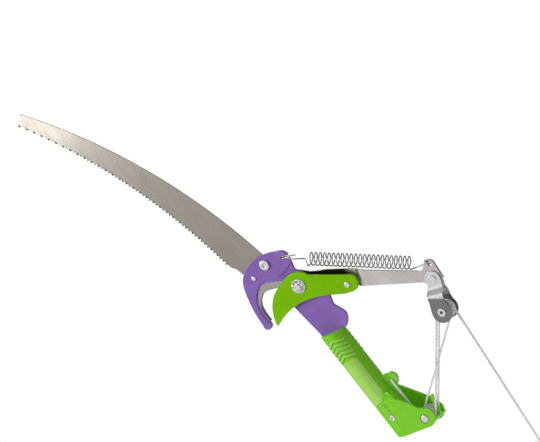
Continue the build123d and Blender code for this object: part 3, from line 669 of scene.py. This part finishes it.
def steel_layers(name, roughness, lean, brush):
    """Steel with fine lines along one direction, cloudy stains and a few scratches."""
    depth = 0.02
    finish = Finish(name, 1.0, roughness)
    lines = finish.noise(brush, (1.0, 1.0, 0.02), lean, 3.0)
    clouds = finish.noise(38.0, (1.0, 1.0, 0.35), lean, 5.0)
    scratches = finish.noise(260.0, (1.0, 1.0, 0.012), lean + 0.5, 2.0)
    finish.tint(1.22, finish.range(lines, 0.35, 0.7, 0.0, 0.8))
    finish.tint(0.72, finish.range(clouds, 0.4, 0.72, 0.0, 0.55))
    finish.tint(1.5, finish.range(scratches, 0.66, 0.74, 0.0, 0.45))
    finish.roughen(clouds, roughness - 0.06, roughness + 0.12)
    finish.emboss(lines, 0.35, depth)
    finish.emboss(scratches, 0.12, depth * 1.5)
    return finish


def brushed(name, roughness, lean, brush=900.0):
    """Brushed steel of one colour."""
    return steel_layers(name, roughness, lean, brush).done()


def arm_with_painted_shade(name):
    """Brushed steel with painted shade, nearly black, where the arm lies behind the blade."""
    finish = steel_layers(name, 0.33, radians(-52.0), 800.0)
    reach = add_node(finish.tree, "ShaderNodeSeparateXYZ", {0: finish.place}).outputs["X"]
    # painted shade: the arm behind the blade is drawn nearly black, fading out along X
    finish.blend_colour((0.028, 0.025, 0.022, 1.0), finish.range(reach, PAINTED_SHADE_TO, UNSHADED_FROM, 1.0, 0.0))
    return finish.done()


def coat_layers(name, roughness, grain, spread, specular):
    """Paint or moulded plastic with a fine orange-peel, cloudy shade and specks worn lighter."""
    finish = Finish(name, 0.0, roughness, Specular_IOR_Level=specular)
    peel = finish.noise(grain, detail=3.0)
    clouds = finish.noise(26.0, detail=6.0)
    specks = finish.noise(520.0, detail=2.0, roughness=0.4)
    finish.tint(1.0 - spread, finish.range(clouds, 0.42, 0.7, 0.0, 1.0))
    finish.tint(1.0 + spread, finish.range(clouds, 0.5, 0.32, 0.0, 1.0))
    finish.tint(1.35, finish.range(specks, 0.7, 0.78, 0.0, 0.35))
    finish.roughen(clouds, roughness - 0.05, roughness + 0.08)
    finish.emboss(peel, 0.25, 0.03)
    finish.emboss(finish.noise(grain * 4.0, detail=2.0), 0.12, 0.012)
    return finish


def coated(name, roughness, grain, spread, specular=0.5):
    """Paint or moulded plastic of one colour."""
    return coat_layers(name, roughness, grain, spread, specular).done()


def socket_with_painted_highlights(name):
    """Moulded plastic whose raised marks on the tube get a painted highlight, lighter than the rest."""
    finish = coat_layers(name, 0.24, 1100.0, 0.05, 0.45)
    tree = finish.tree
    place = add_node(tree, "ShaderNodeSeparateXYZ", {0: finish.place}).outputs
    across = add_node(
        tree, "ShaderNodeVectorMath", {0: finish.place, 1: (1.0, 1.0, 0.0)}, operation="MULTIPLY"
    )
    radius = add_node(
        tree, "ShaderNodeVectorMath", {0: across.outputs[0]}, operation="LENGTH"
    ).outputs["Value"]
    raised = finish.range(radius, TUBE_R * MM, (TUBE_R + MARK_RELIEF * 0.8) * MM, 0.0, 0.5)
    # the bracket's walls are as far from the axis as the marks, and are left out
    edge = finish.range(place["Z"], WALL_FADE, WALL_TOP, RIB_HALF, MARK_HALF)
    beside = math_node(tree, "LESS_THAN", place["X"], edge)
    above = finish.range(place["Z"], MARKS_LOW, MARKS_LOW + 0.002, 0.0, 1.0)
    mark_highlight = math_node(tree, "MULTIPLY", math_node(tree, "MULTIPLY", raised, beside), above)
    # painted highlight: the raised chevrons and pad on the tube are drawn lighter
    finish.blend_colour((0.62, 0.86, 0.25, 1.0), mark_highlight)
    return finish.done()


def plate_layers(name, roughness, slot):
    """Bright plate with faint spangle, handling marks and a little dulling."""
    finish = Finish(name, 1.0, roughness, slot)
    spangle = finish.cells(430.0)
    clouds = finish.noise(60.0, detail=5.0)
    marks = finish.noise(420.0, (1.0, 1.0, 0.05), 0.6, 2.0)
    finish.tint(0.82, finish.range(spangle, 0.3, 0.8, 0.0, 0.45))
    finish.tint(0.70, finish.range(clouds, 0.5, 0.75, 0.0, 0.5))
    finish.tint(1.2, finish.range(marks, 0.66, 0.75, 0.0, 0.5))
    finish.roughen(clouds, roughness - 0.04, roughness + 0.12)
    finish.emboss(marks, 0.15, 0.015)
    return finish


def block_with_painted_dark_reflection(name):
    """Bright plate with a painted dark reflection, dull grey, on the block's lower lobes, below the
    joggle.
    """
    finish = plate_layers(name, 0.30, "zinc")
    along = add_node(
        finish.tree, "ShaderNodeVectorMath", {0: finish.place, 1: LOBE_ALONG}, operation="DOT_PRODUCT"
    ).outputs["Value"]
    # painted reflection: the lower lobes below the joggle are drawn dark grey
    finish.blend_colour((0.16, 0.15, 0.145, 1.0), finish.range(along, DARK_REFLECTION_TO, BRIGHT_FROM, 0.85, 0.0))
    return finish.done()


def fibrous(name):
    """Rope: fine fibres, small shadows between them and a soft sheen."""
    finish = Finish(name, 0.0, 0.72, Sheen_Weight=0.35, Sheen_Roughness=0.4, Specular_IOR_Level=0.3)
    fibres = finish.noise(2600.0, detail=3.0)
    soil = finish.noise(70.0, detail=5.0)
    finish.tint(0.85, finish.range(fibres, 0.5, 0.3, 0.0, 0.7))
    finish.tint(0.86, finish.range(soil, 0.5, 0.75, 0.0, 0.8))
    finish.roughen(fibres, 0.62, 0.86)
    finish.emboss(fibres, 0.6, 0.12)
    return finish.done()


FINISHES = {
    "saw_steel": lambda name: brushed(name, 0.27, radians(-25.0)),
    "anvil_steel": lambda name: brushed(name, 0.38, radians(40.0), 700.0),
    "arm_steel": arm_with_painted_shade,
    "purple_paint": lambda name: coated(name, 0.38, 1500.0, 0.10, specular=0.15),
    "green_paint": lambda name: coated(name, 0.34, 1300.0, 0.06, specular=0.05),
    "zinc": lambda name: plate_layers(name, 0.24, name).done(),
    "worn_zinc": block_with_painted_dark_reflection,
    "spring_wire": lambda name: brushed(name, 0.20, radians(-54.0), 1500.0),
    "green_plastic": socket_with_painted_highlights,
    "sheave_nylon": lambda name: coated(name, 0.45, 1800.0, 0.05),
    "rope_white": fibrous,
}


def material_of(name):
    """The finish with this name, made when it is first asked for.

    Its label has an ending, because the frame brings plain materials under the slots' own names.
    """
    return bpy.data.materials.get(f"{name}_finish") or FINISHES[name](name)


# ---------------------------------------------------------------- the stage
def softbox(name, place, target, size, watts):
    """Rectangular soft light that faces a target."""
    light = bpy.data.lights.new(name, "AREA")
    light.shape = "RECTANGLE"
    light.size, light.size_y = size
    light.energy = watts
    made = show(name, light)
    made.location = place
    made.rotation_euler = (Vector(target) - Vector(place)).to_track_quat("-Z", "Y").to_euler()


class POLESAW_OT_stage(bpy.types.Operator):
    """Camera, pale floor, white surroundings and soft lights"""

    bl_idname = "polesaw.stage"
    bl_label = "Stage"

    def execute(self, context):
        sizes = context.scene.pole_saw_stage
        lowest, highest = (Vector(corner) for corner in CAD_BOX)
        back = CAMERA_BACK.normalized()
        right = (CAMERA_RIGHT - back * CAMERA_RIGHT.dot(back)).normalized()
        turned = Matrix((right, back.cross(right), back)).transposed().to_4x4()
        camera = show("camera", bpy.data.cameras.new("camera"))
        camera.data.lens = sizes.lens
        camera.data.sensor_width = 36.0
        camera.data.clip_end = 100.0
        camera.matrix_world = Matrix.Translation(CAMERA_AIM + back * sizes.camera_distance) @ turned
        context.scene.camera = camera

        bm = bmesh.new()
        bmesh.ops.create_circle(bm, cap_ends=True, segments=96, radius=sizes.floor_radius)
        middle = (lowest + highest) / 2
        bmesh.ops.translate(bm, verts=bm.verts, vec=(middle.x, middle.y, lowest.z - sizes.floor_gap))
        mesh = bpy.data.meshes.new("floor")
        bm.to_mesh(mesh)
        bm.free()
        floor = show("floor", mesh)
        pale = bpy.data.materials.new("pale_floor")
        pale.use_nodes = True
        shader = pale.node_tree.nodes["Principled BSDF"]
        shader.inputs["Base Color"].default_value = (0.93, 0.93, 0.93, 1.0)
        shader.inputs["Roughness"].default_value = 0.9
        mesh.materials.append(pale)

        world = bpy.data.worlds.new("surroundings")
        world.use_nodes = True
        context.scene.world = world
        tree = world.node_tree
        tree.nodes.clear()
        sky = add_node(tree, "ShaderNodeTexCoord").outputs["Generated"]
        height = add_node(tree, "ShaderNodeSeparateXYZ", {0: sky}).outputs["Z"]
        shade = add_node(tree, "ShaderNodeMapRange", {0: height, 1: -0.6, 2: 0.8, 3: 0.10, 4: 0.34})
        white = (1.0, 1.0, 1.0, 1.0)
        studio = add_node(tree, "ShaderNodeBackground", {"Color": white, "Strength": shade.outputs[0]})
        backdrop = add_node(tree, "ShaderNodeBackground", {"Color": white, "Strength": 1.0})
        seen = add_node(tree, "ShaderNodeLightPath").outputs["Is Camera Ray"]
        mixed = add_node(
            tree, "ShaderNodeMixShader", {0: seen, 1: studio.outputs[0], 2: backdrop.outputs[0]}
        )
        add_node(tree, "ShaderNodeOutputWorld", {"Surface": mixed.outputs[0]})

        heart = (0.03, 0.0, 0.25)
        softbox("key_light", (-1.10, -1.00, 1.30), heart, (0.6, 0.6), 18.0)
        softbox("front_card", (-0.82, -1.47, 0.25), heart, (1.5, 1.2), 3.2)
        softbox("fill_light", (1.4, -0.7, 0.5), heart, (0.9, 0.9), 1.2)
        softbox("top_light", (0.1, 0.35, 1.7), heart, (0.9, 0.6), 6.0)
        softbox("rear_light", (-0.9, 1.3, 0.7), heart, (0.9, 0.9), 7.0)
        softbox("tip_light", (-0.52, -0.606, 0.69), (-0.17, 0.0, 0.64), (0.24, 0.16), 0.55)
        context.scene.view_settings.view_transform = "Standard"
        return {"FINISHED"}


# ---------------------------------------------------------------- ropes
def roped(source, name, **sizes):
    """Stranded rope along the splines of a source curve."""
    rope = bpy.context.scene.pole_saw_rope
    values = {
        "radius": rope.radius,
        "step": rope.step,
        "lay_length": rope.lay_length,
        "groove": rope.groove,
        "sides": ROPE_SIDES,
        "material": material_of("rope_white"),
    }
    values.update(sizes)
    return grown(source, stranded_tree(), name, **values)


def knot_points(centre, size, count=90):
    """Line of a knot with three crossings round a centre."""
    line = []
    for i in range(count):
        t = tau * i / count
        reach = 2.0 + cos(3 * t)
        spot = Vector((reach * cos(2 * t), 1.4 * sin(3 * t), reach * sin(2 * t)))
        line.append(centre + spot * size * MM)
    return line


class POLESAW_OT_ropes(bpy.types.Operator):
    """Pulled rope with its knot, the falls, the turns on the sheaves and the anchored end"""

    bl_idname = "polesaw.ropes"
    bl_label = "Ropes"

    def execute(self, context):
        exit_point = on_sheave(UPPER_AXLE, LANE, PULL_ANGLE)
        way = Vector((sin(PULL_ANGLE), 0.0, -cos(PULL_ANGLE)))
        route = [exit_point + way * PULL_LENGTH * MM * share for share in (0.0, 0.08, 0.5, 0.92, 1.0)]
        curve = bpy.data.curves.new("pull_route", "CURVE")
        curve.dimensions = "3D"
        spline = curve.splines.new("NURBS")
        spline.points.add(len(route) - 1)
        for control, spot in zip(spline.points, route):
            control.co = (*spot, 1.0)
        spline.order_u = 3
        spline.use_endpoint_u = True
        source = show("pull_route", curve)
        line = bpy.data.meshes.new_from_object(source)
        bpy.data.meshes.remove(line)
        pull = roped(source, "pull_line")
        tied = knot_points(route[-1] + way * 3.4 * MM, 1.1)
        knot = roped(path_curve("knot_route", [tied], closed=True), "pull_knot")
        dress(pull, "pulley_block", "rope_white", "pull_rope")
        dress(knot, "pulley_block", "rope_white", "end_knot")

        # up on the front lane, down across to the rear lane, and up again on it
        falls = [
            (on_sheave(LOWER_AXLE, -LANE, UP_TANGENT), on_sheave(UPPER_AXLE, -LANE, pi + UP_TANGENT)),
            (on_sheave(UPPER_AXLE, -LANE, DOWN_TANGENT - pi), on_sheave(LOWER_AXLE, LANE, DOWN_TANGENT)),
            (on_sheave(LOWER_AXLE, LANE, UP_TANGENT), on_sheave(UPPER_AXLE, LANE, pi + UP_TANGENT)),
        ]
        fall = roped(path_curve("falls_route", falls), "fall_lines")
        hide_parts("rope_falls")
        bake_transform(fall)

        around = tau + UP_TANGENT - DOWN_TANGENT
        lower = [
            turn_points(LOWER_AXLE, -LANE, pi, pi + UP_TANGENT),
            turn_points(LOWER_AXLE, LANE, DOWN_TANGENT, around),
        ]
        upper = [
            turn_points(UPPER_AXLE, -LANE, pi + UP_TANGENT, -around),
            turn_points(UPPER_AXLE, LANE, pi + UP_TANGENT, PULL_ANGLE - pi - UP_TANGENT),
        ]
        lower_wraps = roped(path_curve("lower_route", lower), "lower_wraps")
        dress(lower_wraps, "head", "rope_white", "lower_turns")
        upper_wraps = roped(path_curve("upper_route", upper), "upper_wraps")
        dress(upper_wraps, "pulley_block", "rope_white", "upper_turns")

        below_ear = (EAR_HOLE[0], LOWER_AXLE[1])
        # a radius over the short run's limit, so that the corner is as round as the run allows
        anchor = rounded([at(EAR_HOLE, 4.6), at(EAR_HOLE, -LANE), at(below_ear, -LANE)], 5.0 * MM)
        anchor_line = roped(path_curve("anchor_route", [anchor]), "anchor_line")
        dress(anchor_line, "head", "rope_white", "anchored_rope")
        tied = knot_points(at(EAR_HOLE, 6.4), 0.8)
        tie = roped(path_curve("anchor_knot_route", [tied], closed=True), "anchor_tie", radius=0.0014)
        dress(tie, "head", "rope_white", "anchor_knot")
        return {"FINISHED"}


# ---------------------------------------------------------------- saw
class POLESAW_OT_saw(bpy.types.Operator):
    """Saw blade with set and ground teeth"""

    bl_idname = "polesaw.saw"
    bl_label = "Saw blade"

    def execute(self, context):
        sizes = context.scene.pole_saw_teeth
        steel = material_of("saw_steel")
        edge = arc_through(*SAW_EDGE, 60)
        back = arc_through(*SAW_BACK, 48)
        roots = []
        for i, (x, z) in enumerate(edge):
            before, after = edge[max(i - 1, 0)], edge[min(i + 1, len(edge) - 1)]
            along = Vector((after[0] - before[0], after[1] - before[1])).normalized()
            roots.append((x - along.y * sizes.depth / MM, z + along.x * sizes.depth / MM))
        outline = [*back, *roots, *SAW_HEEL, *SAW_TANG]
        blade = eased(plate("saw_blank", outline, SAW_FRONT, SAW_REAR), "saw_plate", steel, 0.25)

        half = sizes.pitch * 0.485
        thick = (SAW_REAR - SAW_FRONT) * MM / 2
        mesh = bpy.data.meshes.new("tooth")
        sunk = 0.5 * MM
        corners = [
            (-half, -thick, sunk),
            (half, -thick, sunk),
            (half, thick, sunk),
            (-half, thick, sunk),
            (-half, thick, 0.0),
            (half, thick, 0.0),
            (-half, -thick, 0.0),
            (half, -thick, 0.0),
            (0.0, thick * 0.55 + sizes.side_set, -sizes.depth),
        ]
        root_faces = [(0, 3, 2, 1), (0, 1, 7, 6), (2, 3, 4, 5), (3, 0, 6, 4), (1, 2, 5, 7)]
        ground_faces = [(6, 7, 8), (5, 4, 8), (4, 6, 8), (7, 5, 8)]
        mesh.from_pydata(corners, [], root_faces + ground_faces)
        bm = bmesh.new()
        bm.from_mesh(mesh)
        bmesh.ops.recalc_face_normals(bm, faces=bm.faces)
        bm.to_mesh(mesh)
        bm.free()
        tooth = show("tooth", mesh)
        middle = (SAW_FRONT + SAW_REAR) / 2
        line = path_curve("tooth_line", [[at(place, middle) for place in roots]])
        teeth = grown(line, teeth_tree(), "saw_teeth", pitch=sizes.pitch, tooth=tooth, material=steel)
        teeth.data.shade_flat()
        bpy.data.objects.remove(tooth)
        dress(teeth, "head", "saw_steel", "saw_blade")
        dress(blade, "head", "saw_steel", "saw_blade")
        return {"FINISHED"}


# ---------------------------------------------------------------- spring
class POLESAW_OT_spring(bpy.types.Operator):
    """Return spring with its hook and its tail"""

    bl_idname = "polesaw.spring"
    bl_label = "Return spring"

    def execute(self, context):
        sizes = context.scene.pole_saw_wire
        notch, ear = at(SPRING_NOTCH, 0.0), at(SPRING_EAR, 0.0)
        way = (ear - notch).normalized()
        up = Vector((-way.z, 0.0, way.x))
        side = way.cross(-up)
        start = notch + way * HOOK_WIRE * MM
        length = (ear - notch).length - (HOOK_WIRE + TAIL_WIRE) * MM
        radius = COIL_R * MM

        def wire_point(place, depth, forward, rise=0.0):
            return at(place, depth) + (way * forward + up * rise) * MM

        coil = []
        steps = COILS * COIL_STEPS
        for i in range(steps + 1):
            angle = tau * COILS * i / steps
            coil.append(start + (side * sin(angle) - up * cos(angle)) * radius + way * length * i / steps)
        lead = (coil[1] - coil[0]).normalized()
        last = (coil[-1] - coil[-2]).normalized()
        hook = rounded(
            [
                wire_point(SPRING_NOTCH, HOOK_REAR, 17.0, 3.2),
                wire_point(SPRING_NOTCH, HOOK_REAR, 0.0),
                wire_point(SPRING_NOTCH, HOOK_FRONT, 0.0),
                wire_point(SPRING_NOTCH, HOOK_FRONT, HOOK_WIRE - 18.0, 0.3),
                wire_point(SPRING_NOTCH, 0.0, HOOK_WIRE - 6.0),
                coil[0] - lead * 5.0 * MM,
                coil[0],
            ],
            3.0 * MM,
        )
        tail = rounded(
            [
                coil[-1],
                coil[-1] + last * 5.5 * MM,
                wire_point(SPRING_EAR, TAIL_DEPTH, -10.0, -2.5),
                wire_point(SPRING_EAR, TAIL_DEPTH, 0.0),
                wire_point(SPRING_EAR, -TAIL_DEPTH, 0.0),
                wire_point(SPRING_EAR, -TAIL_DEPTH, -5.5, 6.0),
            ],
            2.4 * MM,
        )
        values = {
            "radius": sizes.radius,
            "step": sizes.step,
            "lay_length": 1.0,
            "groove": 0.0,
            "sides": sizes.sides,
            "material": material_of("spring_wire"),
        }
        coil_route = path_curve("coil_route", [hook[:-1] + coil])
        coils = grown(coil_route, stranded_tree(), "spring_coils", **values)
        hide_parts("return_spring")
        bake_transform(coils)
        tail_route = path_curve("tail_route", [tail])
        loop = grown(tail_route, stranded_tree(), "spring_loop", **values)
        dress(loop, "spring_end", "spring_wire", "spring_tail")
        return {"FINISHED"}


# ---------------------------------------------------------------- pieces finished from the frame
class POLESAW_OT_frame_plate(bpy.types.Operator):
    """Painted frame plate with its hook, and the steel anvil behind it"""

    bl_idname = "polesaw.frame_plate"
    bl_label = "Frame plate and anvil"

    def execute(self, context):
        from_frame("frame_plate", "purple_paint", "head", 0.5, 3)
        from_frame("anvil_blade", "anvil_steel", "head", 0.35)
        return {"FINISHED"}


class POLESAW_OT_socket(bpy.types.Operator):
    """Moulded pole socket with its bracket, ear, pad and chevrons"""

    bl_idname = "polesaw.socket"
    bl_label = "Pole socket"

    def execute(self, context):
        from_frame("pole_socket", "green_plastic", "head", 0.45, 2)
        return {"FINISHED"}


class POLESAW_OT_lopper(bpy.types.Operator):
    """Lopper blade, lever arm, their rivet and sleeve"""

    bl_idname = "polesaw.lopper"
    bl_label = "Lopper blade and arm"

    def execute(self, context):
        from_frame("cutting_blade", "green_paint", "lever", 0.7, 3)
        from_frame("lever_arm", "arm_steel", "lever", 0.5, 3)
        from_frame("blade_rivet", "zinc", "lever", 0.25)
        from_frame("spacer_sleeve", "zinc", "lever", 0.2)
        return {"FINISHED"}


class POLESAW_OT_block(bpy.types.Operator):
    """Pulley block: two cheeks, their rivet and the tubular axle"""

    bl_idname = "polesaw.block"
    bl_label = "Pulley block"

    def execute(self, context):
        from_frame("front_cheek", "worn_zinc", "pulley_block", 0.45, 3, "zinc")
        from_frame("rear_cheek", "worn_zinc", "pulley_block", 0.45, 3, "zinc")
        from_frame("block_rivet", "zinc", "pulley_block", 0.35)
        from_frame("upper_axle", "zinc", "pulley_block", 0.35)
        return {"FINISHED"}


class POLESAW_OT_sheaves(bpy.types.Operator):
    """Four grooved sheaves"""

    bl_idname = "polesaw.sheaves"
    bl_label = "Sheaves"

    def execute(self, context):
        for level in ("upper", "lower"):
            for lane in ("front", "rear"):
                from_frame(f"{level}_sheave_{lane}", "sheave_nylon", f"{lane}_{level}_sheave", 0.25)
        return {"FINISHED"}


class POLESAW_OT_lock_nut(bpy.types.Operator):
    """Star lock nut on the pivot"""

    bl_idname = "polesaw.lock_nut"
    bl_label = "Lock nut"

    def execute(self, context):
        # each ring as its radius between points, its radius on a point, and its depth at both
        rings = (
            (4.05, 4.05, -6.6, -6.6),
            (9.8, 9.8, -6.6, -6.6),
            (9.8, 9.8, -7.3, -7.3),
            (9.3, 9.3, -7.8, -7.8),
            (7.0, 8.9, -7.9, -7.9),
            (6.5, 8.3, -8.9, -9.7),
            (5.3, 5.6, -8.5, -10.2),
            (4.9, 4.9, -8.6, -8.6),
            (4.05, 4.05, -8.7, -8.7),
        )
        steps = STAR_POINTS * STAR_STEPS
        bm = bmesh.new()
        loops = []
        for low, high, low_depth, high_depth in rings:
            loop = []
            for i in range(steps):
                angle = tau * i / steps
                share = (1 + cos(STAR_POINTS * angle)) / 2
                reach = low + (high - low) * share
                depth = low_depth + (high_depth - low_depth) * share
                place = (PIVOT[0] + reach * cos(angle), PIVOT[1] + reach * sin(angle))
                loop.append(bm.verts.new(at(place, depth)))
            loops.append(loop)
        for inner, outer in zip(loops, loops[1:] + loops[:1]):
            for i in range(steps):
                bm.faces.new((inner[i], inner[i - 1], outer[i - 1], outer[i]))
        bmesh.ops.recalc_face_normals(bm, faces=bm.faces)
        mesh = bpy.data.meshes.new("star_nut")
        bm.to_mesh(mesh)
        bm.free()
        nut = show("star_nut", mesh)
        paint(nut, material_of("zinc"))
        mesh.set_sharp_from_angle(angle=radians(25))
        dress(nut, "head", "zinc", "pivot_nut")
        return {"FINISHED"}


class POLESAW_OT_fasteners(bpy.types.Operator):
    """Bolts, nuts, washers, rivets and axles of the head"""

    bl_idname = "polesaw.fasteners"
    bl_label = "Fasteners"

    def execute(self, context):
        for node, width in (
            ("saw_bolt", 0.3),
            ("saw_washer", 0.25),
            ("saw_nut", 0.5),
            ("saw_rivet", 0.2),
            ("pivot_bush", 0.2),
            ("pivot_bolt", 0.5),
            ("thrust_washers", 0.15),
            ("pole_lock_screw", 0.25),
            ("lower_axle", 0.3),
            ("lower_axle_nut", 0.4),
        ):
            from_frame(node, "zinc", "head", width)
        return {"FINISHED"}


STEPS = (
    POLESAW_OT_stage,
    POLESAW_OT_ropes,
    POLESAW_OT_saw,
    POLESAW_OT_frame_plate,
    POLESAW_OT_socket,
    POLESAW_OT_lopper,
    POLESAW_OT_block,
    POLESAW_OT_sheaves,
    POLESAW_OT_lock_nut,
    POLESAW_OT_fasteners,
    POLESAW_OT_spring,
)


class POLESAW_PT_panel(bpy.types.Panel):
    """Lists the settings and the steps"""

    bl_idname = "POLESAW_PT_panel"
    bl_label = "Pole saw"
    bl_space_type = "VIEW_3D"
    bl_region_type = "UI"
    bl_category = "Pole saw"

    def draw(self, context):
        for group in SETTINGS:
            box = self.layout.box()
            settings = getattr(context.scene, group)
            for key in settings.bl_rna.properties.keys():
                if key not in ("rna_type", "name"):
                    box.prop(settings, key)
        for step in STEPS:
            self.layout.operator(step.bl_idname)


def register():
    """Registers the settings, the steps and the panel."""
    for name, group in SETTINGS.items():
        bpy.utils.register_class(group)
        setattr(bpy.types.Scene, name, bpy.props.PointerProperty(type=group))
    for step in (*STEPS, POLESAW_PT_panel):
        bpy.utils.register_class(step)


def unregister():
    """Takes them away again."""
    for step in (POLESAW_PT_panel, *reversed(STEPS)):
        bpy.utils.unregister_class(step)
    for name, group in SETTINGS.items():
        delattr(bpy.types.Scene, name)
        bpy.utils.unregister_class(group)


def main():
    """Builds everything in order."""
    register()
    bpy.ops.polesaw.stage()
    bpy.ops.polesaw.ropes()
    bpy.ops.polesaw.saw()
    bpy.ops.polesaw.frame_plate()
    bpy.ops.polesaw.socket()
    bpy.ops.polesaw.lopper()
    bpy.ops.polesaw.block()
    bpy.ops.polesaw.sheaves()
    bpy.ops.polesaw.lock_nut()
    bpy.ops.polesaw.fasteners()
    bpy.ops.polesaw.spring()


if __name__ == "__main__":
    main()
